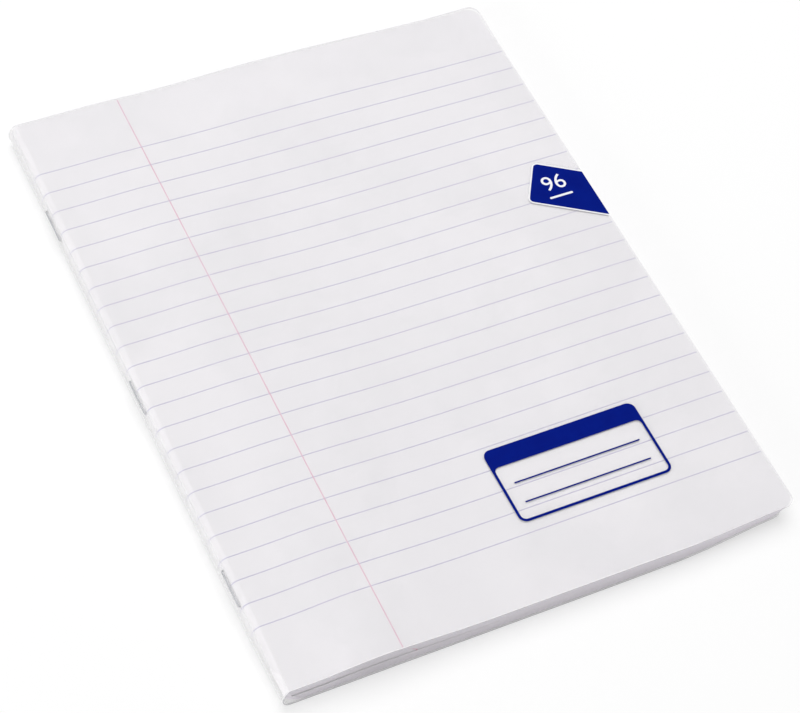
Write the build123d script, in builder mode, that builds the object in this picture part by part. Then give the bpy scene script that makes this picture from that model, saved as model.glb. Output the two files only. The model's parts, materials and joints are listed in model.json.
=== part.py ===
from build123d import *
from math import sqrt
import os

# Stapled exercise book: folded ruled sheets inside a clear wrap-round cover, held by wire staples.
# X runs from the spine to the fore edge, Y from the tail to the head, and Z up from the back cover.

# Cover, mm
cover_width = 170.0  # spine to fore edge
cover_height = 220.0  # tail to head
cover_sheet = 0.4
corner_radius = 5.0  # the two corners at the fore edge

# Paper, mm
sheet_count = 24  # folded sheets, each giving a front and a back leaf
paper_sheet = 0.1
air_gap = 0.035  # between one leaf and the next
cover_gap = 0.06  # between the outermost leaf and the cover
cover_overhang = 0.4  # cover past the leaves on the three cut edges

# Staples, mm
staple_count = 3
staple_pitch = 71.0
staple_crown = 13.0
staple_wire = 0.6
staple_bend = 0.5  # centre-line radius at the wire's corners
clinch_gap = 1.2  # between the two bent-in ends
gutter_clearance = 0.12  # around the wire inside the innermost fold
hole_clearance = 0.06  # around the wire in the paper and the cover

# Hinges, mm
fold_leg = 0.9  # how far the folds reach past the spine's own radius
hinge_gap = 0.3  # between the folds and whatever turns round them

# Sizes that follow from these
leaf_pitch = paper_sheet + air_gap
gutter_radius = staple_wire / 2 + gutter_clearance
block_radius = gutter_radius + sheet_count * leaf_pitch - air_gap
spine_inside = block_radius + cover_gap
spine_outside = spine_inside + cover_sheet
fold_reach = spine_outside + fold_leg
turn_reach = fold_reach + hinge_gap
staple_hole = staple_wire + 2 * hole_clearance

# Places: the staples' crowns stand out behind the spine, and the whole is centred on the origin
overall_width = cover_width + staple_wire
spine_x = staple_wire - overall_width / 2
fore_x = overall_width / 2
crown_x = spine_x - staple_wire / 2
axis_x = spine_x + spine_outside
axis_z = spine_outside
leaf_height = cover_height - 2 * cover_overhang
leaf_fore_x = fore_x - cover_overhang
leaf_corner = corner_radius - cover_overhang

fold_plane = Plane(origin=(axis_x, 0, axis_z), x_dir=(1, 0, 0), z_dir=(0, -1, 0))
staple_rows = [(row - (staple_count - 1) / 2) * staple_pitch for row in range(staple_count)]
leg_offset = (staple_crown - staple_wire) / 2
leg_rows = [row + side * leg_offset for row in staple_rows for side in (-1, 1)]


def leg_length(radius):
    # A fold's straight legs end on one circle round the axis
    return sqrt(fold_reach**2 - radius**2)


def turning_edge(radius):
    # The inner edge of a piece that turns at this radius, just outside that circle
    return axis_x + sqrt(turn_reach**2 - radius**2)


def folded_sheet(inside, outside, length):
    # One sheet bent round the axis, added to the part being built
    leg = leg_length(outside)
    with BuildSketch(fold_plane) as section:
        with BuildLine():
            Line((leg, outside), (0, outside))
            CenterArc((0, 0), outside, 90, 180)
            Line((0, -outside), (leg, -outside))
            Line((leg, -outside), (leg, -inside))
            Line((leg, -inside), (0, -inside))
            CenterArc((0, 0), inside, 270, -180)
            Line((0, inside), (leg, inside))
            Line((leg, inside), (leg, outside))
        make_face()
    extrude(section.sketch, amount=length / 2, both=True)


def staple_holes():
    # The staples' legs pass through the back of every fold
    with BuildSketch(Plane.YZ.offset(spine_x)) as holes:
        with Locations([(row, axis_z) for row in leg_rows]):
            Circle(staple_hole / 2)
    extrude(holes.sketch, amount=spine_outside, mode=Mode.SUBTRACT)


def flat_sheet(bottom, thickness, inner_x, outer_x, length, corner):
    # One flat leaf or cover board, with its fore-edge corners rounded
    with BuildSketch(Plane.XY.offset(bottom)) as outline:
        with Locations(((inner_x + outer_x) / 2, 0)):
            Rectangle(outer_x - inner_x, length)
        fillet(outline.vertices().sort_by(Axis.X)[-2:], radius=corner)
    extrude(outline.sketch, amount=thickness)


def save(part, name):
    part.label = name
    export_step(part, f"parts/{name}.step")


os.makedirs("parts", exist_ok=True)

# Cover: one plastic sheet, scored where the spine meets the two boards
with BuildPart() as cover_spine:
    folded_sheet(spine_inside, spine_outside, cover_height)
    staple_holes()
save(cover_spine.part, "cover_spine")

with BuildPart() as front_cover:
    flat_sheet(
        axis_z + spine_inside,
        cover_sheet,
        turning_edge(spine_inside),
        fore_x,
        cover_height,
        corner_radius,
    )
save(front_cover.part, "front_cover")

with BuildPart() as back_cover:
    flat_sheet(0, cover_sheet, axis_x + leg_length(spine_outside), fore_x, cover_height, corner_radius)
save(back_cover.part, "back_cover")

# Sheets: the folded middles stay on the staples, one inside the other
with BuildPart() as sheet_folds:
    for sheet in range(sheet_count):
        fold_inside = gutter_radius + sheet * leaf_pitch
        folded_sheet(fold_inside, fold_inside + paper_sheet, leaf_height)
    staple_holes()
save(sheet_folds.part, "sheet_folds")

# Leaves: counted from the front cover to the back cover
leaf_count = 2 * sheet_count
for number in range(1, leaf_count + 1):
    in_front = number <= sheet_count
    layer = sheet_count - number if in_front else number - sheet_count - 1
    leaf_inside = gutter_radius + layer * leaf_pitch
    leaf_bottom = axis_z + leaf_inside if in_front else axis_z - leaf_inside - paper_sheet
    with BuildPart() as leaf:
        flat_sheet(
            leaf_bottom,
            paper_sheet,
            turning_edge(leaf_inside),
            leaf_fore_x,
            leaf_height,
            leaf_corner,
        )
    save(leaf.part, f"leaf_{number:02d}")

# Staples: crown outside the spine, legs through the folds, ends bent in along the centre fold
with BuildPart() as staples:
    for row in staple_rows:
        with BuildLine() as wire_path:
            FilletPolyline(
                (axis_x, row + clinch_gap / 2, axis_z),
                (axis_x, row + leg_offset, axis_z),
                (crown_x, row + leg_offset, axis_z),
                (crown_x, row - leg_offset, axis_z),
                (axis_x, row - leg_offset, axis_z),
                (axis_x, row - clinch_gap / 2, axis_z),
                radius=staple_bend,
            )
        with BuildSketch(Plane(origin=wire_path.line @ 0, z_dir=wire_path.line % 0)):
            Circle(staple_wire / 2)
        sweep(path=wire_path.line)
save(staples.part, "staples")
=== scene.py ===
import json
import math

import bmesh
import bpy
from mathutils import Matrix, Vector
from mathutils.bvhtree import BVHTree


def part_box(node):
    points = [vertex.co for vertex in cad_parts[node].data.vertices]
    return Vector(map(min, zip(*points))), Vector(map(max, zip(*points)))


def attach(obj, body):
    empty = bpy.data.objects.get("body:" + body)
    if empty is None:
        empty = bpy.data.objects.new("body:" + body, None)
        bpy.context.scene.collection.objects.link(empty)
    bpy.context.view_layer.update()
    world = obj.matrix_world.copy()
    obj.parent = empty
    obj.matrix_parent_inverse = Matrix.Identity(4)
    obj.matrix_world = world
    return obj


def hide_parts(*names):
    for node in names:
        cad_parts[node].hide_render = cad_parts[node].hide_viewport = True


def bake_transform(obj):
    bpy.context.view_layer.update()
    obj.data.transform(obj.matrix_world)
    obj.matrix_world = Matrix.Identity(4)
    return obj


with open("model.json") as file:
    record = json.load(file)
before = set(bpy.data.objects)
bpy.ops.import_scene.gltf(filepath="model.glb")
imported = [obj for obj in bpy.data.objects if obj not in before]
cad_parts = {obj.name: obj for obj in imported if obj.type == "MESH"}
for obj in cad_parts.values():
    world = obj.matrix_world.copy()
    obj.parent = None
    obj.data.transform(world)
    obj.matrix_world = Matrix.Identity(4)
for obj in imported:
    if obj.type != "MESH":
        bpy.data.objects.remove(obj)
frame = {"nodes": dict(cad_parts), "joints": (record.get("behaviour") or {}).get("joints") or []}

# Stapled exercise book: X runs from the spine to the fore edge, Y from the tail to the head.
# Sizes are in millimetres until a mesh is placed.
mm = 0.001
mapScale, mapStep = 0.01, 1000.0
nearly = 0.01  # how close counts as touching, in millimetres
mergeReach = 1e-4  # outline points closer than this are one
sharpAngle = 35  # edges bent more than this, in degrees, stay sharp
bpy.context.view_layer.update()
scene = bpy.context.scene
scene.view_settings.view_transform = "Standard"
joints = {joint["name"]: joint for joint in frame["joints"]}
axisX, axisZ = (joints["leaf_01_turn"]["pos_m"][place] / mm for place in (0, 2))
creaseX = joints["front_cover_hinge"]["pos_m"][0] / mm
leafNames = sorted(name for name in frame["nodes"] if name.startswith("leaf_"))
print("frame:", len(frame["nodes"]), "nodes,", len(leafNames), "leaves")


def boxMm(node):
    low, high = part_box(node)
    return low / mm, high / mm


def srgb(red, green, blue):
    channels = [value / 255 for value in (red, green, blue)]
    return [c / 12.92 if c <= 0.04045 else ((c + 0.055) / 1.055) ** 2.4 for c in channels] + [1.0]


# Node trees: a flow is a value on its way through a tree, so that sums read as sums
class flow:
    def __init__(self, tree, socket):
        self.tree, self.socket = tree, socket

    def by(self, operation, *others):
        node = self.tree.nodes.new("ShaderNodeMath")
        node.operation = operation
        for socket, value in zip(node.inputs, (self, *others)):
            feed(self.tree, socket, value)
        return flow(self.tree, node.outputs[0])

    def __add__(self, other):
        return self.by("ADD", other)

    def __sub__(self, other):
        return self.by("SUBTRACT", other)

    def __mul__(self, other):
        return self.by("MULTIPLY", other)

    def __neg__(self):
        return self * -1.0


def feed(tree, socket, value):
    if isinstance(value, flow):
        tree.links.new(value.socket, socket)
    else:
        socket.default_value = value


def ramp(value, low, high, start=0.0, end=1.0, smooth=False):
    node = value.tree.nodes.new("ShaderNodeMapRange")
    node.interpolation_type = "SMOOTHSTEP" if smooth else "LINEAR"
    sockets = ("Value", "From Min", "From Max", "To Min", "To Max")
    for name, given in zip(sockets, (value, low, high, start, end)):
        feed(value.tree, node.inputs[name], given)
    return flow(value.tree, node.outputs["Result"])


def addNode(tree, kind, inputs=None, **settings):
    node = tree.nodes.new(kind)
    for name, value in settings.items():
        setattr(node, name, value)
    for name, value in (inputs or {}).items():
        feed(tree, node.inputs[name], value)
    return node


def newTree(name, kind, inputs, outputs):
    tree = bpy.data.node_groups.new(name, kind)
    for label, socketType, value in inputs:
        socket = tree.interface.new_socket(label, in_out="INPUT", socket_type=socketType)
        if value is not None:
            socket.default_value = value
    for label, socketType in outputs:
        tree.interface.new_socket(label, in_out="OUTPUT", socket_type=socketType)
    given = tree.nodes.new("NodeGroupInput")
    result = tree.nodes.new("NodeGroupOutput")
    return tree, {socket.name: flow(tree, socket) for socket in given.outputs if socket.name}, result


def pieceTree(name, sizes):
    inputs = [("Finish", "NodeSocketMaterial", None)]
    for label, value in sizes.items():
        inputs.append((label, "NodeSocketInt" if isinstance(value, int) else "NodeSocketFloat", value))
    return newTree(name, "GeometryNodeTree", inputs, [("Geometry", "NodeSocketGeometry")])


def splitPosition(tree):
    node = addNode(tree, "ShaderNodeSeparateXYZ")
    tree.links.new(tree.nodes.new("GeometryNodeInputPosition").outputs[0], node.inputs[0])
    return [flow(tree, socket) for socket in node.outputs]


def vector(tree, x, y, z, scale=mm):
    joined = addNode(tree, "ShaderNodeCombineXYZ", {"X": x, "Y": y, "Z": z})
    scaled = addNode(tree, "ShaderNodeVectorMath", {"Vector": flow(tree, joined.outputs[0])}, operation="SCALE")
    scaled.inputs["Scale"].default_value = scale
    return flow(tree, scaled.outputs[0])


def keepMap(tree, geometry, x, y, where=True):
    kept = addNode(tree, "GeometryNodeStoreNamedAttribute",
                   {"Geometry": geometry, "Name": "sheetMap", "Selection": where},
                   data_type="FLOAT2", domain="CORNER")
    value = next(socket for socket in kept.inputs if socket.name == "Value" and socket.enabled)
    feed(tree, value, vector(tree, x, y, 0.0, mapScale))
    return flow(tree, kept.outputs[0])


def faceMiddle(tree):
    node = addNode(tree, "GeometryNodeFieldOnDomain", domain="FACE", data_type="FLOAT_VECTOR")
    tree.links.new(tree.nodes.new("GeometryNodeInputPosition").outputs[0], node.inputs[0])
    parts = addNode(tree, "ShaderNodeSeparateXYZ")
    tree.links.new(node.outputs[0], parts.inputs[0])
    return [flow(tree, socket) * (1 / mm) for socket in parts.outputs]


def finishPiece(tree, result, sheet, x, y, z, thickness, finish, joint=None, alongNormals=False, unrolledX=None):
    # Places a sheet, keeps where each point lies on the paper as its map, and gives it a closed thickness.
    # Cut edges have their map one step aside, and ends that meet another piece two steps.
    placed = addNode(tree, "GeometryNodeSetPosition",
                     {"Geometry": keepMap(tree, sheet, unrolledX or x, y), "Position": vector(tree, x, y, z)})
    placed = flow(tree, placed.outputs[0])
    thick = addNode(tree, "GeometryNodeExtrudeMesh",
                    {"Mesh": placed, "Offset Scale": thickness * mm, "Individual": False})
    if not alongNormals:
        up = addNode(tree, "ShaderNodeCombineXYZ", {"Z": 1.0})
        tree.links.new(up.outputs[0], thick.inputs["Offset"])
    hereX, hereY = splitPosition(tree)[:2]
    aside = joint(*faceMiddle(tree)) * mapStep + mapStep if joint else mapStep
    edged = keepMap(tree, flow(tree, thick.outputs["Mesh"]), hereX * (1 / mm) + aside, hereY * (1 / mm),
                    flow(tree, thick.outputs["Side"]))
    under = addNode(tree, "GeometryNodeFlipFaces", {"Mesh": placed})
    both = tree.nodes.new("GeometryNodeJoinGeometry")
    tree.links.new(edged.socket, both.inputs[0])
    tree.links.new(under.outputs[0], both.inputs[0])
    closed = addNode(tree, "GeometryNodeMergeByDistance",
                     {"Geometry": flow(tree, both.outputs[0]), "Distance": 1e-6})
    real = addNode(tree, "GeometryNodeRealizeInstances", {"Geometry": flow(tree, closed.outputs[0])})
    worn = addNode(tree, "GeometryNodeSetMaterial",
                   {"Geometry": flow(tree, real.outputs[0]), "Material": finish})
    tree.links.new(worn.outputs[0], result.inputs["Geometry"])


def growPiece(name, tree, finish, sizes):
    # Runs a tree on an empty mesh and keeps the result as a plain mesh
    piece = bpy.data.objects.new(name, bpy.data.meshes.new(name))
    scene.collection.objects.link(piece)
    modifier = piece.modifiers.new("grow", "NODES")
    modifier.node_group = tree
    for item in tree.interface.items_tree:
        if item.in_out == "INPUT":
            modifier[item.identifier] = finish if item.name == "Finish" else sizes[item.name]
    graph = bpy.context.evaluated_depsgraph_get()
    mesh = bpy.data.meshes.new_from_object(piece.evaluated_get(graph), depsgraph=graph)
    piece.modifiers.remove(modifier)
    piece.data = mesh
    mesh.name = name
    mesh.materials.clear()
    mesh.materials.append(finish)
    mesh.polygons.foreach_set("material_index", [0] * len(mesh.polygons))
    smoothFaces(mesh)
    return piece


def smoothFaces(mesh):
    mesh.polygons.foreach_set("use_smooth", [True] * len(mesh.polygons))
    mesh.set_sharp_from_angle(angle=math.radians(sharpAngle))


# Shared surface effects
def grainGroup():
    # Fine fibres and soft clouding of a sheet's surface
    tree, given, result = newTree(
        "sheetGrain", "ShaderNodeTree",
        [("Vector", "NodeSocketVector", None), ("Fibre Scale", "NodeSocketFloat", 400.0),
         ("Cloud Scale", "NodeSocketFloat", 4.0)],
        [("Tone", "NodeSocketFloat"), ("Cloud", "NodeSocketFloat"), ("Height", "NodeSocketFloat")])
    fibre = addNode(tree, "ShaderNodeTexNoise", {"Vector": given["Vector"], "Scale": given["Fibre Scale"],
                                                 "Detail": 3.0, "Roughness": 0.6})
    cloud = addNode(tree, "ShaderNodeTexNoise", {"Vector": given["Vector"], "Scale": given["Cloud Scale"],
                                                 "Detail": 2.0, "Roughness": 0.45})
    fibreValue, cloudValue = (flow(tree, node.outputs["Fac"]) for node in (fibre, cloud))
    feed(tree, result.inputs["Tone"], ramp(fibreValue * 0.6 + cloudValue * 0.4, 0.35, 0.65))
    feed(tree, result.inputs["Cloud"], ramp(cloudValue, 0.4, 0.62, smooth=True))
    feed(tree, result.inputs["Height"], fibreValue)
    return tree


sheetGrain = grainGroup()


def material(name, coordinates, fibreScale, cloudScale, bumpStrength, bumpDistance, **sockets):
    # A Principled surface with the grain ready to use; returns the tree and the grain's flows
    made = bpy.data.materials.new(name)
    made.use_nodes = True
    tree = made.node_tree
    shader = tree.nodes["Principled BSDF"]
    for label, value in sockets.items():
        shader.inputs[label.replace("_", " ")].default_value = value
    values = {}
    if coordinates == "map":
        where = addNode(tree, "ShaderNodeUVMap", uv_map="sheetMap").outputs["UV"]
        parts = addNode(tree, "ShaderNodeSeparateXYZ")
        tree.links.new(where, parts.inputs[0])
        across = flow(tree, parts.outputs["X"]) * (1 / mapScale)
        values["across"], values["upward"] = across, flow(tree, parts.outputs["Y"]) * (1 / mapScale)
        values["edge"] = across.by("GREATER_THAN", mapStep * 0.5)
        values["joint"] = across.by("GREATER_THAN", mapStep * 1.5)
    else:
        where = addNode(tree, "ShaderNodeTexCoord").outputs["Object"]
    grain = addNode(tree, "ShaderNodeGroup", node_tree=sheetGrain)
    tree.links.new(where, grain.inputs["Vector"])
    grain.inputs["Fibre Scale"].default_value = fibreScale
    grain.inputs["Cloud Scale"].default_value = cloudScale
    bump = addNode(tree, "ShaderNodeBump", {"Strength": bumpStrength, "Distance": bumpDistance,
                                            "Height": flow(tree, grain.outputs["Height"])})
    tree.links.new(bump.outputs[0], shader.inputs["Normal"])
    values.update({name: flow(tree, grain.outputs[name]) for name in ("Tone", "Cloud")})
    return made, tree, shader, values


def mixColours(tree, share, first, second):
    mixed = addNode(tree, "ShaderNodeMix", data_type="RGBA")
    for socket, value in zip((mixed.inputs[0], mixed.inputs[6], mixed.inputs[7]), (share, first, second)):
        feed(tree, socket, value)
    return flow(tree, mixed.outputs[2])


def tint(tree, shader, share, first, second):
    feed(tree, shader.inputs["Base Color"], mixColours(tree, share, first, second))


def paperFinish(name, light, dark, cutEdge):
    made, tree, shader, grain = material(name, "map", fibreScale=260.0, cloudScale=3.0, bumpStrength=0.05,
                                         bumpDistance=0.00005, Roughness=0.8)
    tint(tree, shader, grain["edge"], mixColours(tree, grain["Tone"], dark, light), cutEdge)
    return made


def inkFinish(name, full, thin):
    made, tree, shader, grain = material(name, "map", fibreScale=300.0, cloudScale=25.0, bumpStrength=0.03,
                                         bumpDistance=0.00002, Roughness=0.65)
    tint(tree, shader, grain["Cloud"], full, thin)
    return made


def filmFinish(name):
    # Clear plastic sheet, faintly milky: cloudier where it clings to the page and whiter along the rim that stands
    # past the paper; on the bent spine it has a painted highlight, drawn whiter and milkier to stand in for glare
    look = filmLook
    made, tree, shader, grain = material(name, "map", fibreScale=900.0, cloudScale=2.2, bumpStrength=0.04,
                                         bumpDistance=0.00005, IOR=1.49, Specular_IOR_Level=0.22)
    colour = mixColours(tree, grain["Tone"], look["darkTone"], look["lightTone"])
    # painted highlight: this mask marks the bent spine, which gets a lighter tone and more haze in place of glare
    bent = ramp(grain["across"], *look["bendStart"], smooth=True)
    bent = bent * ramp(grain["across"], *look["bendEnd"], smooth=True)
    outX = (grain["across"] - look["rimCentre"][0]).by("MAXIMUM", 0.0)
    outY = (grain["upward"].by("ABSOLUTE") - look["rimCentre"][1]).by("MAXIMUM", 0.0)
    rim = ramp((outX * outX + outY * outY).by("SQRT"), *look["rimReach"])
    # painted highlight: the bent spine is drawn in a near-white tone
    colour = mixColours(tree, bent, colour, look["spineGlareTone"])
    colour = mixColours(tree, grain["edge"], colour, look["edgeTone"])
    haze = ramp(grain["Cloud"], 0.0, 1.0, look["thinHaze"], look["fullHaze"])
    # the painted highlight on the bent spine also makes the film milkier there
    for mask, strength in ((bent, "spineGlareHaze"), (rim, "rimHaze"), (grain["edge"], "edgeHaze")):
        haze = haze.by("MAXIMUM", mask * look[strength])
    feed(tree, shader.inputs["Base Color"], colour)
    feed(tree, shader.inputs["Alpha"], haze * (-(grain["joint"] - 1.0)))
    feed(tree, shader.inputs["Roughness"], ramp(grain["Tone"], 0.0, 1.0, *look["roughness"]))
    made.surface_render_method = "BLENDED"
    return made


def printFinish(name, full, worn, smoothest, roughest):
    made, tree, shader, grain = material(name, "object", fibreScale=9000.0, cloudScale=240.0, bumpStrength=0.02,
                                         bumpDistance=0.00002, Specular_IOR_Level=0.01)
    tint(tree, shader, grain["Tone"], full, worn)
    feed(tree, shader.inputs["Roughness"], ramp(grain["Cloud"], 0.0, 1.0, smoothest, roughest))
    return made


def wireFinish():
    # Drawn steel: fine marks along the wire
    made, tree, shader, grain = material("staple_wire", "object", fibreScale=14000.0, cloudScale=700.0,
                                         bumpStrength=0.15, bumpDistance=0.00002, Metallic=1.0)
    tint(tree, shader, grain["Tone"], wireLook["darkTone"], wireLook["lightTone"])
    feed(tree, shader.inputs["Roughness"], ramp(grain["Cloud"], 0.0, 1.0, *wireLook["roughness"]))
    return made


# The bent spine's start, end, tone and haze below paint a highlight there, standing in for glare
filmLook = {"thinHaze": 0.17, "fullHaze": 0.24, "spineGlareHaze": 0.32, "rimHaze": 0.62, "edgeHaze": 0.6,
            "bendStart": (-81.6, -84.2), "bendEnd": (-86.4, -84.6), "rimCentre": (81.7, 106.4),
            "rimReach": (3.15, 3.3), "darkTone": srgb(238, 237, 239), "lightTone": srgb(244, 243, 245),
            "spineGlareTone": srgb(250, 250, 250), "edgeTone": srgb(216, 215, 220), "roughness": (0.36, 0.44)}
wireLook = {"darkTone": srgb(138, 139, 142), "lightTone": srgb(168, 169, 172), "roughness": (0.28, 0.46)}
paper = paperFinish("ruled_paper", srgb(241, 239, 241), srgb(235, 233, 236), srgb(238, 233, 240))
ruleInk = inkFinish("rule_ink", srgb(180, 175, 206), srgb(190, 185, 213))
marginInk = inkFinish("margin_ink", srgb(229, 170, 191), srgb(233, 184, 201))
film = filmFinish("cover_film")
printBlue = printFinish("print_blue", srgb(1, 20, 118), srgb(4, 27, 128), 0.32, 0.4)
printWhite = printFinish("print_white", srgb(238, 238, 242), srgb(244, 244, 247), 0.36, 0.44)
steel = wireFinish()
print("finishes:", len(bpy.data.materials))

# How the sheets lie: the two halves close up away from the spine, the stack is pressed together at the fore edge
# and waves a little under the cover
lieLook = {"centreGap": 0.8, "openTo": 4.0, "closedBy": 85.0, "ruledHalf": 88.0, "pageHalf": 110.0, "foreX": 85.3,
           "endsFrom": 45.0, "crest": 0.6, "crestTail": 1.1, "crestHead": -0.2, "crestRise": (-76.0, -52.0),
           "crestFall": (-56.0, -18.0), "dip": -0.7, "dipTail": 0.9, "dipHead": 2.3, "dipRise": (-40.0, 0.0),
           "dipFall": (10.0, 72.0), "foreLift": 1.2, "liftFrom": 15.0, "curlReach": 16.0, "curlStop": 2.0,
           "trim": 1.5, "lowerTrim": 0.9, "trimReach": 40.0}


def lieGroup():
    look = lieLook
    tree, given, result = newTree(
        "sheetLie", "GeometryNodeTree",
        [(label, "NodeSocketFloat", 0.0) for label in ("X", "Y", "Layer Share", "Front Half", "Corner Curl")],
        [("Lift", "NodeSocketFloat")])
    x, y = given["X"], given["Y"]
    closing = ramp(x - axisX, look["openTo"], look["closedBy"], 0.0, look["centreGap"], smooth=True)
    closing = closing * given["Front Half"]
    head = ramp(y, look["endsFrom"], look["pageHalf"], smooth=True)
    tail = ramp(-y, look["endsFrom"], look["pageHalf"], smooth=True)
    crest = ramp(x, *look["crestRise"], smooth=True) * ramp(x, *look["crestFall"], 1.0, 0.0, smooth=True)
    dip = ramp(x, *look["dipRise"], smooth=True) * ramp(x, *look["dipFall"], 1.0, 0.0, smooth=True)
    waves = crest * (head * look["crestHead"] + tail * look["crestTail"] + look["crest"])
    waves = waves + dip * (head * look["dipHead"] + tail * look["dipTail"] + look["dip"])
    pressed = ramp(x, look["liftFrom"], look["foreX"], 0.0, look["foreLift"], smooth=True)
    pressed = pressed * (-(given["Layer Share"] - 1.0))
    towardsCorner = (x - look["foreX"] + y - look["pageHalf"]) * math.sqrt(0.5)
    curl = ramp(towardsCorner, -look["curlReach"], -look["curlStop"], smooth=True) * given["Corner Curl"]
    feed(tree, result.inputs["Lift"], waves * given["Layer Share"] - closing + pressed + curl)
    return tree


sheetLie = lieGroup()


def lift(tree, given, x, y):
    node = addNode(tree, "GeometryNodeGroup", node_tree=sheetLie)
    for label, value in (("X", x), ("Y", y)):
        feed(tree, node.inputs[label], value)
    for label in ("Layer Share", "Front Half", "Corner Curl"):
        feed(tree, node.inputs[label], given[label])
    return flow(tree, node.outputs["Lift"])


# Columns run close together where a page bends at the gutter, one narrow column carries the margin, and a row
# runs along every ruled line
gridLook = {"bendColumns": 14, "marginFrom": 17, "marginTo": 18, "columns": 32, "bendReach": 24.0,
            "marginColumn": 0.2, "plainRows": 11, "bandRows": 15, "rows": 21, "cornerReach": 14.0}


def columnX(given, share):
    look = gridLook
    breaks = [look[key] / look["columns"] for key in ("bendColumns", "marginFrom", "marginTo")]
    bendX = axisX + look["bendReach"]
    firstX, lastX = given["Margin X"] - look["marginColumn"], given["Margin X"] + look["marginColumn"]
    x = given["Inner X"] + ramp(share, 0.0, breaks[0]) * (-(given["Inner X"] - bendX))
    x = x + ramp(share, breaks[0], breaks[1]) * (firstX - bendX)
    x = x + ramp(share, breaks[1], breaks[2], 0.0, 2 * look["marginColumn"])
    return x + ramp(share, breaks[2], 1.0) * (given["Fore X"] - lastX)


def rowY(given, place):
    # Returns Y, and how far a row of the rounded corner pulls in the fore edge
    look = gridLook
    out = place.by("ABSOLUTE") * 2.0
    breaks = [look[key] / look["rows"] for key in ("plainRows", "bandRows")]
    turnAngle = ramp(out, breaks[1], 1.0, 0.0, math.pi / 2)
    y = ramp(out, 0.0, breaks[0], 0.0, lieLook["ruledHalf"])
    y = y + ramp(out, breaks[0], breaks[1]) * (given["Half Height"] - given["Corner"] - lieLook["ruledHalf"])
    y = y + turnAngle.by("SINE") * given["Corner"]
    pulledIn = given["Corner"] - turnAngle.by("COSINE") * given["Corner"]
    return y * place.by("SIGN"), pulledIn


def tailTrim(given, x, y):
    # The tail is cut a little out of square towards the fore edge, the lower leaves more so
    look = lieLook
    slope = ramp(x, look["foreX"] - look["trimReach"], look["foreX"], smooth=True)
    depth = ramp(given["Layer Share"], 0.0, 1.0, look["trim"] + look["lowerTrim"], look["trim"])
    return slope * depth * ramp(-y, look["ruledHalf"], look["pageHalf"])


def gridSheet(tree, columns, rows, sizeX=1.0, sizeY=1.0):
    node = addNode(tree, "GeometryNodeMeshGrid", {"Size X": sizeX, "Size Y": sizeY, "Vertices X": columns + 1,
                                                  "Vertices Y": rows + 1})
    return flow(tree, node.outputs["Mesh"])


def copiesAlong(tree, shape, count, start, step, axis):
    line = addNode(tree, "GeometryNodeMeshLine", {"Count": count})
    feed(tree, line.inputs["Start Location"], vector(tree, *[start if a == axis else 0.0 for a in "XYZ"], 1.0))
    feed(tree, line.inputs["Offset"], vector(tree, *[step if a == axis else 0.0 for a in "XYZ"], 1.0))
    copied = addNode(tree, "GeometryNodeInstanceOnPoints",
                     {"Points": flow(tree, line.outputs[0]), "Instance": shape})
    return flow(tree, copied.outputs[0])


sheetSizes = {"Sheet Height": 0.0, "Thickness": 0.1, "Layer Share": 1.0, "Front Half": 1.0, "Corner Curl": 0.0,
              "Inner X": 0.0, "Fore X": 80.0, "Margin X": -47.0, "Half Height": 109.6, "Corner": 4.6}
inkSkin = 0.004  # how far ink stands off the paper


def sheetTree():
    tree, given, result = pieceTree("flatSheet", sheetSizes)
    placeX, placeY = splitPosition(tree)[:2]
    x = columnX(given, placeX + 0.5)
    y, pulledIn = rowY(given, placeY)
    x = x - pulledIn * ramp(x, given["Fore X"] - gridLook["cornerReach"], given["Fore X"])
    y = y + tailTrim(given, x, y)
    z = given["Sheet Height"] + lift(tree, given, x, y)
    sheet = gridSheet(tree, gridLook["columns"], 2 * gridLook["rows"])
    finishPiece(tree, result, sheet, x, y, z, given["Thickness"], given["Finish"],
                joint=lambda midX, midY, midZ: midX.by("LESS_THAN", given["Inner X"] + nearly))
    return tree


def linesTree():
    tree, given, result = pieceTree("ruledLines", dict(sheetSizes, Lines=23, Pitch=8.0, Width=0.25))
    strip = gridSheet(tree, gridLook["columns"], 1, 1.0, given["Width"])
    first = (given["Lines"] - 1.0) * given["Pitch"] * -0.5
    lines = copiesAlong(tree, strip, given["Lines"], first, given["Pitch"], "Y")
    lines = flow(tree, addNode(tree, "GeometryNodeRealizeInstances", {"Geometry": lines}).outputs[0])
    placeX, placeY = splitPosition(tree)[:2]
    # The last column stands past the fore edge, so that the ink covers the cut
    x = columnX(given, placeX + 0.5) + ramp(placeX, 0.49, 0.5, 0.0, inkSkin)
    z = given["Sheet Height"] - inkSkin + lift(tree, given, x, placeY)
    finishPiece(tree, result, lines, x, placeY, z, given["Thickness"] + 2 * inkSkin, given["Finish"])
    return tree


def marginTree():
    tree, given, result = pieceTree("marginLine", dict(sheetSizes, Width=0.34, Reach=0.0))
    strip = gridSheet(tree, 1, 2 * gridLook["rows"], given["Width"], 1.0)
    placeX, placeY = splitPosition(tree)[:2]
    x = given["Margin X"] + placeX
    y, pulledIn = rowY(given, placeY)
    z = given["Sheet Height"] - inkSkin + lift(tree, given, x, y)
    y = y + placeY * given["Reach"] * 2.0
    finishPiece(tree, result, strip, x, y, z, given["Thickness"] + 2 * inkSkin, given["Finish"])
    return tree


flatSheet, ruledLines, marginLine = sheetTree(), linesTree(), marginTree()
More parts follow.
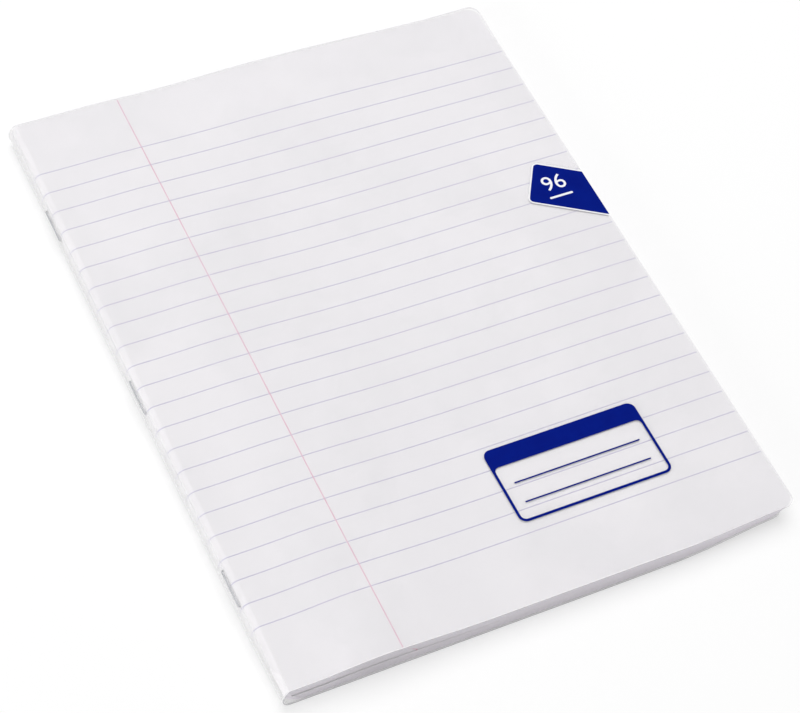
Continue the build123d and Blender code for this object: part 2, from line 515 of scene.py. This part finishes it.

# Leaves, counted from the front: each is half a folded sheet
leafLook = {"bendReach": 20.0, "backBendFrom": 3.5, "backFoldShare": 0.95, "curlFirst": 0.45, "curlFade": 0.55,
            "frontCorner": 3.8, "backCorner": 4.2, "frontRecess": 0.0, "backRecess": 2.2, "lines": 23, "pitch": 8.0,
            "lineWidth": 0.35, "marginWidth": 0.38, "marginFromFold": 39.3, "marginShort": 0.02,
            "inkedEdges": (17, 24)}
for order, name in enumerate(leafNames, 1):
    low, high = boxMm(name)
    inFront = low.z > axisZ
    foldRadius = abs((low.z + high.z) / 2 - axisZ)
    bendFrom = axisX if inFront else axisX + leafLook["backBendFrom"]
    edgeInked = leafLook["inkedEdges"][0] <= order <= leafLook["inkedEdges"][1]
    share = 1 - (order - 1) / (len(leafNames) - 1)
    sizes = dict(sheetSizes, **{
        "Sheet Height": low.z, "Thickness": high.z - low.z, "Half Height": high.y,
        "Corner": leafLook["backCorner"] + (leafLook["frontCorner"] - leafLook["backCorner"]) * share,
        "Layer Share": share, "Front Half": float(inFront),
        "Corner Curl": leafLook["curlFirst"] * leafLook["curlFade"] ** order,
        "Inner X": axisX if inFront else axisX + (axisZ - low.z) * leafLook["backFoldShare"],
        "Fore X": high.x - leafLook["backRecess"] + (leafLook["backRecess"] - leafLook["frontRecess"]) * share,
        "Margin X": axisX + leafLook["marginFromFold"] - foldRadius * math.pi / 2,
        "Lines": leafLook["lines"], "Pitch": leafLook["pitch"]})
    lineSizes = dict(sizes, Width=leafLook["lineWidth"])
    marginSizes = dict(sizes, Width=leafLook["marginWidth"], Reach=inkSkin if edgeInked else -leafLook["marginShort"])
    parts = [growPiece(name + "_paper", flatSheet, paper, sizes),
             growPiece(name + "_lines", ruledLines, ruleInk, lineSizes),
             growPiece(name + "_margin", marginLine, marginInk, marginSizes)]
    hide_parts(name)
    for part in parts:
        bendFrom * mm
        axisZ * mm
        (bendFrom + leafLook["bendReach"]) * mm
        axisZ * mm
        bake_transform(part)
print("leaves:", 3 * len(leafNames), "pieces")


# Folds: sheets bent round the staples, pointed at the tip, and the cover's round back outside them
foldSizes = {"Layers": 1, "Strips": 1, "Rows": 1, "Strip Pitch": 8.0, "Strip Width": 200.0, "Outer Radius": 4.0,
             "Layer Pitch": 0.1, "Thickness": 0.1, "Kink Share": 0.1, "Tip Share": 1.0, "Upper Point": 1.0,
             "Tail Kink": 0.3, "Tail Tip": 0.8, "Tail Rise": 0.0, "Tail Point": 1.5, "Lower Point": 0.85,
             "Lower Share": 0.0, "Tail Lower": 0.85, "Tail Share": 0.0, "Leg Share": 0.0, "Leg": 0.0}
foldColumns = 32
kinkEnd, legStart = 0.1, 0.9  # shares of the way round a fold
pinchLook = {"from": 86.0, "to": 108.0}  # the fold is pinched flat towards the tail


def foldTree():
    # A fold runs from the top leaf over a kink to its tip and back under to the bottom leaf
    tree, given, result = pieceTree("foldedSheets", foldSizes)
    strip = gridSheet(tree, foldColumns, given["Rows"], 1.0, given["Strip Width"])
    first = (given["Strips"] - 1.0) * given["Strip Pitch"] * -0.5
    strips = copiesAlong(tree, strip, given["Strips"], first, given["Strip Pitch"], "Y")
    stack = copiesAlong(tree, strips, given["Layers"], 0.0, 1.0, "Z")
    stack = flow(tree, addNode(tree, "GeometryNodeRealizeInstances", {"Geometry": stack}).outputs[0])
    placeX, placeY, layer = splitPosition(tree)
    pinch = ramp(-placeY, pinchLook["from"], pinchLook["to"], smooth=True)
    kink = given["Kink Share"] + (given["Tail Kink"] - given["Kink Share"]) * pinch
    tip = given["Tip Share"] + (given["Tail Tip"] - given["Tip Share"]) * pinch
    upperPoint = given["Upper Point"] + (given["Tail Point"] - given["Upper Point"]) * pinch
    lowerPoint = given["Lower Point"] + (given["Tail Lower"] - given["Lower Point"]) * pinch
    lowerShare = given["Lower Share"] + (given["Tail Share"] - given["Lower Share"]) * pinch
    along = placeX + 0.5
    radius = given["Outer Radius"] - layer.by("ROUND") * given["Layer Pitch"]
    angle = ramp(along, kinkEnd, legStart, 0.0, math.pi)
    lower = along.by("GREATER_THAN", 0.5)
    point = upperPoint + (lowerPoint - upperPoint) * lower
    shoulder = kink - (kink + lowerShare) * lower
    bulge = angle.by("SINE").by("MAXIMUM", 0.0).by("POWER", point) * (tip - shoulder) + shoulder
    leg = ramp(along, legStart, 1.0)
    out = bulge * ramp(along, 0.0, kinkEnd) * (-(leg - 1.0)) - given["Leg Share"] * leg
    x = given["Leg"] * leg - out * radius + axisX
    tipX = tip * radius * -1.0 + axisX
    unrolledX = x + (tipX - x) * 2.0 * lower
    rise = angle.by("COSINE")
    swing = rise.by("ABSOLUTE").by("POWER", point) * rise.by("SIGN")
    level = given["Tail Rise"] * pinch * (-(rise.by("ABSOLUTE").by("POWER", point) - 1.0))
    z = (level + swing) * radius + axisZ
    finishPiece(tree, result, stack, x, placeY, z, given["Thickness"], given["Finish"], alongNormals=True,
                unrolledX=unrolledX, joint=lambda midX, midY, midZ: midY.by("ABSOLUTE").by(
                    "LESS_THAN", given["Strip Width"] * 0.5 - nearly))
    return tree


foldedSheets = foldTree()
foldLook = {"rows": 20, "kink": 0.1, "tip": 0.82, "upperPoint": 1.05, "tailKink": 0.33, "tailTip": 0.66,
            "tailRise": 0.27, "tailPoint": 1.7, "lowerPoint": 1.1, "lowerShare": 0.25, "tailLower": 1.5,
            "tailShare": 0.85}
topLow, topHigh = boxMm(leafNames[0])
nextLow, nextHigh = boxMm(leafNames[1])
paperFold = dict(foldSizes, **{
    "Layers": len(leafNames) // 2, "Strip Width": 2 * topHigh.y, "Outer Radius": topHigh.z - axisZ,
    "Layer Pitch": topLow.z - nextLow.z, "Thickness": topHigh.z - topLow.z, "Rows": foldLook["rows"],
    "Kink Share": foldLook["kink"], "Tip Share": foldLook["tip"], "Upper Point": foldLook["upperPoint"],
    "Tail Kink": foldLook["tailKink"], "Tail Tip": foldLook["tailTip"], "Tail Rise": foldLook["tailRise"],
    "Tail Point": foldLook["tailPoint"], "Lower Point": foldLook["lowerPoint"],
    "Lower Share": foldLook["lowerShare"], "Tail Lower": foldLook["tailLower"], "Tail Share": foldLook["tailShare"],
    "Leg Share": leafLook["backFoldShare"]})
folds = growPiece("sheet_fold_backs", foldedSheets, paper, paperFold)
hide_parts("sheet_folds")
foldInk = growPiece("sheet_fold_lines", foldedSheets, ruleInk, dict(paperFold, **{
    "Layers": 1, "Rows": 1, "Strips": leafLook["lines"], "Strip Pitch": leafLook["pitch"],
    "Strip Width": leafLook["lineWidth"], "Outer Radius": topHigh.z - axisZ + inkSkin,
    "Thickness": topHigh.z - topLow.z + 2 * inkSkin}))
for piece in (folds, foldInk):
    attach(piece, "base")

# Cover: round back, back board, a flat strip from the round back to the crease, the crease and the front board
coverLook = {"rows": 20, "kink": 0.1, "tip": 0.85, "upperPoint": 1.0, "tailKink": 0.3, "tailTip": 0.72,
             "tailPoint": 1.5, "lowerPoint": 1.0, "lowerShare": -0.05, "creaseFrom": -0.72, "creaseTo": 0.68,
             "cornerCurl": 0.5, "frontCorner": 3.6, "backCorner": 4.2, "backRecess": 1.9, "stripRows": 12,
             "stripColumns": 18, "creaseColumns": 14}
backLow, backHigh = boxMm("back_cover")
boardLow, boardHigh = boxMm("front_cover")
coverRadius = boardHigh.z - axisZ
roundBack = growPiece("cover_round_back", foldedSheets, film, dict(foldSizes, **{
    "Strip Width": 2 * boardHigh.y, "Outer Radius": coverRadius, "Thickness": boardHigh.z - boardLow.z,
    "Rows": coverLook["rows"], "Kink Share": coverLook["kink"], "Tip Share": coverLook["tip"],
    "Upper Point": coverLook["upperPoint"], "Tail Kink": coverLook["tailKink"], "Tail Tip": coverLook["tailTip"],
    "Tail Point": coverLook["tailPoint"], "Lower Point": coverLook["lowerPoint"],
    "Lower Share": coverLook["lowerShare"], "Tail Lower": coverLook["lowerPoint"],
    "Tail Share": coverLook["lowerShare"], "Leg": backLow.x - axisX}))
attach(roundBack, "base")
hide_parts("cover_spine")


def stripMesh(name, firstX, lastX, columns):
    # A flat strip of cover sheet, with its map laid out as on the boards
    mesh = bpy.data.meshes.new(name)
    work = bmesh.new()
    bmesh.ops.create_grid(work, x_segments=columns, y_segments=coverLook["stripRows"], size=0.5)
    sheetMap = work.loops.layers.uv.new("sheetMap")
    for vertex in work.verts:
        vertex.co = Vector((firstX + (vertex.co.x + 0.5) * (lastX - firstX), vertex.co.y * 2 * boardHigh.y,
                            boardLow.z)) * mm
    flat = list(work.faces)
    grown = bmesh.ops.extrude_face_region(work, geom=flat, use_keep_orig=True)
    for item in grown["geom"]:
        if isinstance(item, bmesh.types.BMVert):
            item.co.z = boardHigh.z * mm
    bmesh.ops.recalc_face_normals(work, faces=work.faces)
    for face in work.faces:
        aside = 2 * mapStep if abs(face.normal.x) > 0.5 else mapStep if abs(face.normal.y) > 0.5 else 0.0
        for corner in face.loops:
            corner[sheetMap].uv = (corner.vert.co.xy / mm + Vector((aside, 0))) * mapScale
    work.to_mesh(mesh)
    work.free()
    piece = bpy.data.objects.new(name, mesh)
    scene.collection.objects.link(piece)
    mesh.materials.append(film)
    smoothFaces(mesh)
    return piece


creaseStart, creaseEnd = creaseX + coverLook["creaseFrom"], creaseX + coverLook["creaseTo"]
frontStrip = stripMesh("cover_front_strip", axisX, creaseStart, coverLook["stripColumns"])
axisX * mm
axisZ * mm
creaseStart * mm
axisZ * mm
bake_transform(frontStrip)
creaseStrip = stripMesh("cover_crease", creaseStart, creaseEnd, coverLook["creaseColumns"])
creaseStart * mm
axisZ * mm
creaseEnd * mm
axisZ * mm
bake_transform(creaseStrip)
boardSizes = dict(sheetSizes, **{"Thickness": boardHigh.z - boardLow.z, "Half Height": boardHigh.y,
                                 "Fore X": boardHigh.x})
frontBoard = growPiece("cover_front_board", flatSheet, film, dict(boardSizes, **{
    "Sheet Height": boardLow.z, "Corner Curl": coverLook["cornerCurl"], "Inner X": creaseEnd,
    "Corner": coverLook["frontCorner"]}))
backBoard = growPiece("cover_back_board", flatSheet, film, dict(boardSizes, **{
    "Sheet Height": backLow.z, "Layer Share": 0.0, "Front Half": 0.0, "Inner X": backLow.x,
    "Corner": coverLook["backCorner"], "Fore X": backHigh.x - coverLook["backRecess"]}))
for piece, body, node in ((frontBoard, "front_cover", "front_cover"), (backBoard, "base", "back_cover")):
    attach(piece, body)
    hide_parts(node)
print("cover and folds: 7 pieces")

# Staples: the crowns lie half pressed into the round back, the lower ones a little higher up it
stapleLook = {"wire": 0.23, "bend": 0.5, "crown": 13.0, "endGap": 1.2, "pressed": 0.14, "rises": (30.0, 24.0, 12.0),
              "shift": -1.9, "bendSteps": 5, "sides": 14}
stapleSizes = {"Wire": 0.3, "Bend": 0.5, "Half Crown": 6.2, "Half Gap": 0.6, "Row": 0.0, "Crown X": 0.0,
               "Crown Z": 0.0, "Gutter X": 0.0, "Gutter Z": 0.0}


def stapleTree():
    # Ends bent in along the centre fold, legs out through the back, crown outside
    tree, given, result = pieceTree("stapleWire", stapleSizes)
    path = addNode(tree, "GeometryNodeMeshLine", {"Count": 6})
    number = flow(tree, tree.nodes.new("GeometryNodeInputIndex").outputs[0])
    side = -(number.by("GREATER_THAN", 2.5) * 2.0 - 1.0)
    atCrown = (number - 2.5).by("ABSOLUTE").by("LESS_THAN", 1.0)
    atEnd = (number - 2.5).by("ABSOLUTE").by("GREATER_THAN", 2.0)
    x = given["Gutter X"] + (given["Crown X"] - given["Gutter X"]) * atCrown
    y = side * (given["Half Crown"] + (given["Half Gap"] - given["Half Crown"]) * atEnd) + given["Row"]
    z = given["Gutter Z"] + (given["Crown Z"] - given["Gutter Z"]) * atCrown
    placed = addNode(tree, "GeometryNodeSetPosition",
                     {"Geometry": flow(tree, path.outputs[0]), "Position": vector(tree, x, y, z)})
    curve = addNode(tree, "GeometryNodeMeshToCurve", {"Mesh": flow(tree, placed.outputs[0])})
    bent = addNode(tree, "GeometryNodeFilletCurve",
                   {"Curve": flow(tree, curve.outputs[0]), "Count": stapleLook["bendSteps"],
                    "Radius": given["Bend"] * mm}, mode="POLY")
    section = addNode(tree, "GeometryNodeCurvePrimitiveCircle",
                      {"Resolution": stapleLook["sides"], "Radius": given["Wire"] * mm})
    wire = addNode(tree, "GeometryNodeCurveToMesh",
                   {"Curve": flow(tree, bent.outputs[0]), "Profile Curve": flow(tree, section.outputs[0]),
                    "Fill Caps": True})
    real = addNode(tree, "GeometryNodeRealizeInstances", {"Geometry": flow(tree, wire.outputs[0])})
    worn = addNode(tree, "GeometryNodeSetMaterial",
                   {"Geometry": flow(tree, real.outputs[0]), "Material": given["Finish"]})
    tree.links.new(worn.outputs[0], result.inputs["Geometry"])
    return tree


stapleWire = stapleTree()
stapleLow, stapleHigh = boxMm("staples")
rowReach = stapleHigh.y - stapleLook["crown"] / 2
for row, rise in enumerate(stapleLook["rises"]):
    turned = math.radians(rise)
    out = (coverLook["tip"] - coverLook["kink"]) * math.cos(turned) + coverLook["kink"]
    stand = stapleLook["wire"] - stapleLook["pressed"]
    staple = growPiece("staple_%d" % (row + 1), stapleWire, steel, {
        "Wire": stapleLook["wire"], "Bend": stapleLook["bend"],
        "Half Crown": stapleLook["crown"] / 2 - stapleLook["wire"], "Half Gap": stapleLook["endGap"] / 2,
        "Row": (row - 1) * rowReach + stapleLook["shift"],
        "Crown X": axisX - out * coverRadius - stand * math.cos(turned),
        "Crown Z": axisZ + (coverRadius + stand) * math.sin(turned), "Gutter X": axisX, "Gutter Z": axisZ})
    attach(staple, "base")
    if row == 0:
        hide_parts("staples")
print("staples: 3 pieces")

# Printing on the front board: a slanted tag at the fore edge and a blank name label
boardSurface = BVHTree.FromObject(frontBoard, bpy.context.evaluated_depsgraph_get())
printLook = {"film": 0.012, "sunk": 0.004, "cell": 4.0}


def printed(name, outlines, finish, level=0):
    # Closed thin films of ink from flat outlines, cut into cells so that they follow the board
    work = bmesh.new()
    for outline in outlines:
        work.faces.new([work.verts.new((x, y, 0.0)) for x, y in outline])
    return layInk(name, work, finish, level)


def layInk(name, work, finish, level):
    look = printLook
    xs, ys = [v.co.x for v in work.verts], [v.co.y for v in work.verts]
    for axis, values in ((0, xs), (1, ys)):
        for step in range(int(min(values) // look["cell"]) + 1, int(max(values) // look["cell"]) + 1):
            normal, place = Vector((0, 0, 0)), Vector((0, 0, 0))
            normal[axis], place[axis] = 1.0, step * look["cell"]
            bmesh.ops.bisect_plane(work, geom=[*work.verts, *work.edges, *work.faces], plane_co=place,
                                   plane_no=normal)
    bmesh.ops.recalc_face_normals(work, faces=work.faces)
    for face in work.faces:
        if face.normal.z < 0:
            face.normal_flip()
    grown = bmesh.ops.extrude_face_region(work, geom=list(work.faces), use_keep_orig=True)
    tops = {item for item in grown["geom"] if isinstance(item, bmesh.types.BMVert)}
    for vertex in work.verts:
        hit = boardSurface.ray_cast(Vector((vertex.co.x * mm, vertex.co.y * mm, 1.0)), Vector((0, 0, -1)))[0]
        height = hit.z / mm + (level + 1) * (look["film"] if vertex in tops else -look["sunk"])
        vertex.co = Vector((vertex.co.x, vertex.co.y, height)) * mm
    bmesh.ops.recalc_face_normals(work, faces=work.faces)
    mesh = bpy.data.meshes.new(name)
    work.to_mesh(mesh)
    work.free()
    mesh.materials.append(finish)
    piece = bpy.data.objects.new(name, mesh)
    scene.collection.objects.link(piece)
    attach(piece, "front_cover")
    return piece


def rounded(corners, radius, steps=6):
    # A polygon with every corner rounded; corners run anticlockwise
    points = []
    for before, corner, after in zip(corners[-1:] + corners[:-1], corners, corners[1:] + corners[:1]):
        corner, before, after = Vector(corner), Vector(before), Vector(after)
        inward, outward = (before - corner).normalized(), (after - corner).normalized()
        half = inward.angle(outward) / 2
        reach = radius / math.tan(half)
        middle = corner + (inward + outward).normalized() * radius / math.sin(half)
        first, last = corner + inward * reach - middle, corner + outward * reach - middle
        for step in range(steps + 1):
            swung = first.slerp(last, step / steps).normalized() * radius
            points.append(tuple(middle + swung))
    return points


tagLook = {"centre": (84.18, 21.1), "length": 40.0, "height": 16.4, "slant": -31.8, "corner": 1.5, "border": 0.5,
           "number": "96", "numberSize": 8.4, "numberPlace": (69.9, 26.35), "bar": (69.9, 23.0, 8.4, 0.8),
           "barCorner": 0.3, "edgeGap": 0.02}


def tagOutline(grow):
    # The slanted tag, cut off where the board ends
    look = tagLook
    turn = Matrix.Rotation(math.radians(look["slant"]), 2)
    halfX, halfY = look["length"] / 2 + grow, look["height"] / 2 + grow
    corners = [(-halfX, -halfY), (halfX, -halfY), (halfX, halfY), (-halfX, halfY)]
    points = [turn @ Vector(p) + Vector(look["centre"]) for p in rounded(corners, look["corner"] + grow)]
    cut, limit = [], boardHigh.x - look["edgeGap"]
    for before, point in zip(points[-1:] + points[:-1], points):
        if (before.x <= limit) != (point.x <= limit):
            cut.append(tuple(before.lerp(point, (limit - before.x) / (point.x - before.x))))
        if point.x <= limit:
            cut.append(tuple(point))
    return cut


def bar(x, y, width, height):
    return [(x, y), (x + width, y), (x + width, y + height), (x, y + height)]


printed("tag_border", [tagOutline(tagLook["border"])], printWhite)
printed("tag_field", [tagOutline(0.0)], printBlue, level=1)
printed("tag_bar", [rounded(bar(*tagLook["bar"]), tagLook["barCorner"])], printWhite, level=2)

letters = bpy.data.curves.new("tag_number_text", "FONT")
letters.body, letters.size, letters.resolution_u = tagLook["number"], tagLook["numberSize"], 6
textPiece = bpy.data.objects.new("tag_number_text", letters)
scene.collection.objects.link(textPiece)
graph = bpy.context.evaluated_depsgraph_get()
textMesh = bpy.data.meshes.new_from_object(textPiece.evaluated_get(graph), depsgraph=graph)
bpy.data.objects.remove(textPiece)
textWork = bmesh.new()
textWork.from_mesh(textMesh)
bmesh.ops.remove_doubles(textWork, verts=textWork.verts, dist=mergeReach)
bmesh.ops.translate(textWork, verts=textWork.verts, vec=(*tagLook["numberPlace"], 0.0))
layInk("tag_number", textWork, printWhite, 2)

labelLook = {"left": 4.0, "bottom": -84.5, "width": 52.0, "height": 27.0, "corner": 2.6, "frame": 0.9, "head": 7.5,
             "lines": 2, "lineWidth": 0.5, "lineCorner": 0.2, "inset": 4.5, "firstLine": 6.2, "linePitch": 7.2}


def labelFrame():
    # The frame is four strips that meet at the corners' middles, so that its inside stays open
    look = labelLook
    outer = rounded(bar(look["left"], look["bottom"], look["width"], look["height"]), look["corner"])
    inner = rounded(bar(look["left"] + look["frame"], look["bottom"] + look["frame"],
                        look["width"] - 2 * look["frame"], look["height"] - look["head"]),
                    look["corner"] - look["frame"])
    pieces = []
    for place in range(len(outer)):
        after = (place + 1) % len(outer)
        pieces.append([outer[place], outer[after], inner[after], inner[place]])
    return pieces


def labelLines():
    look = labelLook
    return [rounded(bar(look["left"] + look["inset"], look["bottom"] + look["firstLine"] + row * look["linePitch"],
                        look["width"] - 2 * look["inset"], look["lineWidth"]), look["lineCorner"])
            for row in range(look["lines"])]


labelWork = bmesh.new()
for outline in labelFrame():
    labelWork.faces.new([labelWork.verts.new((x, y, 0.0)) for x, y in outline])
bmesh.ops.remove_doubles(labelWork, verts=labelWork.verts, dist=mergeReach)
layInk("label_frame", labelWork, printBlue, 0)
printed("label_lines", labelLines(), printBlue)
print("printing: 6 pieces")

# Floor, light and camera
stageLook = {"floorSize": 4.0, "floorDrop": 0.00005, "floorLight": 0.55, "whiteFrom": 0.2, "whiteBy": 0.55,
             "keySize": 1.7, "keyPower": 25.6, "keyPlace": (0.12, 0.62, 1.68), "fillPower": 6.4, "fillSize": 0.6,
             "fillPlace": (-1.3, -0.36, 0.3), "sky": 0.4}


def seenByLens(tree):
    path = tree.nodes.new("ShaderNodeLightPath")
    rays = [flow(tree, path.outputs[name]) for name in ("Is Camera Ray", "Is Glossy Ray", "Is Transmission Ray")]
    return rays[0].by("MAXIMUM", rays[1]).by("MAXIMUM", rays[2])


def floorFinish():
    made = bpy.data.materials.new("studio_floor")
    made.use_nodes = True
    tree = made.node_tree
    shader = tree.nodes["Principled BSDF"]
    shader.inputs["Base Color"].default_value = srgb(250, 250, 250)
    shader.inputs["Roughness"].default_value = 0.9
    shader.inputs["Specular IOR Level"].default_value = 0.0
    glow = addNode(tree, "ShaderNodeEmission", {"Strength": 1.0})
    mixed = tree.nodes.new("ShaderNodeMixShader")
    reach = addNode(tree, "ShaderNodeVectorMath", operation="LENGTH")
    tree.links.new(addNode(tree, "ShaderNodeTexCoord").outputs["Object"], reach.inputs[0])
    whiter = ramp(flow(tree, reach.outputs["Value"]), stageLook["whiteFrom"], stageLook["whiteBy"],
                  stageLook["floorLight"], 1.0, smooth=True)  # the floor runs out to plain white
    feed(tree, mixed.inputs[0], seenByLens(tree) * whiter)
    tree.links.new(shader.outputs[0], mixed.inputs[1])
    tree.links.new(glow.outputs[0], mixed.inputs[2])
    tree.links.new(mixed.outputs[0], tree.nodes["Material Output"].inputs["Surface"])
    return made


floorMesh = bpy.data.meshes.new("studio_floor")
halfFloor = stageLook["floorSize"] / 2
floorMesh.from_pydata([(x * halfFloor, y * halfFloor, -stageLook["floorDrop"])
                       for x, y in ((-1, -1), (1, -1), (1, 1), (-1, 1))], [], [(0, 1, 2, 3)])
floorMesh.materials.append(floorFinish())
floor = bpy.data.objects.new("studio_floor", floorMesh)
scene.collection.objects.link(floor)

world = scene.world or bpy.data.worlds.new("studio")
scene.world = world
world.use_nodes = True
sky = world.node_tree.nodes["Background"]
sky.inputs["Color"].default_value = (1.0, 1.0, 1.0, 1.0)
feed(world.node_tree, sky.inputs["Strength"],
     ramp(seenByLens(world.node_tree), 0.0, 1.0, stageLook["sky"], 1.0))


def softLight(name, place, size, power):
    lamp = bpy.data.lights.new(name, "AREA")
    lamp.shape, lamp.size, lamp.energy = "SQUARE", size, power
    made = bpy.data.objects.new(name, lamp)
    scene.collection.objects.link(made)
    made.location = place
    made.rotation_euler = (-Vector(place)).to_track_quat("-Z", "Y").to_euler()


softLight("key_light", stageLook["keyPlace"], stageLook["keySize"], stageLook["keyPower"])
softLight("fill_light", stageLook["fillPlace"], stageLook["fillSize"], stageLook["fillPower"])

cameraLook = {"azimuth": -34.242, "elevation": 53.148, "roll": 11.028, "distance": 714.689, "focal": 2303.352,
              "target": (-0.704, -12.434, 0.0), "imageWidth": 800.0, "sensor": 36.0, "clip": (0.05, 10.0)}


def placeCamera():
    look = cameraLook
    azimuth, elevation, roll = (math.radians(look[key]) for key in ("azimuth", "elevation", "roll"))
    towards = Vector((math.sin(azimuth) * math.cos(elevation), -math.cos(azimuth) * math.cos(elevation),
                      math.sin(elevation)))
    right = (-towards).cross(Vector((0, 0, 1))).normalized()
    up = right.cross(-towards)
    tilted = right * math.cos(roll) + up * math.sin(roll)
    upright = up * math.cos(roll) - right * math.sin(roll)
    lens = bpy.data.cameras.new("photo_camera")
    lens.sensor_fit, lens.sensor_width = "HORIZONTAL", look["sensor"]
    lens.lens = look["focal"] * lens.sensor_width / look["imageWidth"]
    lens.clip_start, lens.clip_end = look["clip"]
    made = bpy.data.objects.new("photo_camera", lens)
    scene.collection.objects.link(made)
    place = (Vector(look["target"]) + towards * look["distance"]) * mm
    made.matrix_world = Matrix.Translation(place) @ Matrix((tilted, upright, towards)).transposed().to_4x4()
    scene.camera = made


placeCamera()
print("stage set")
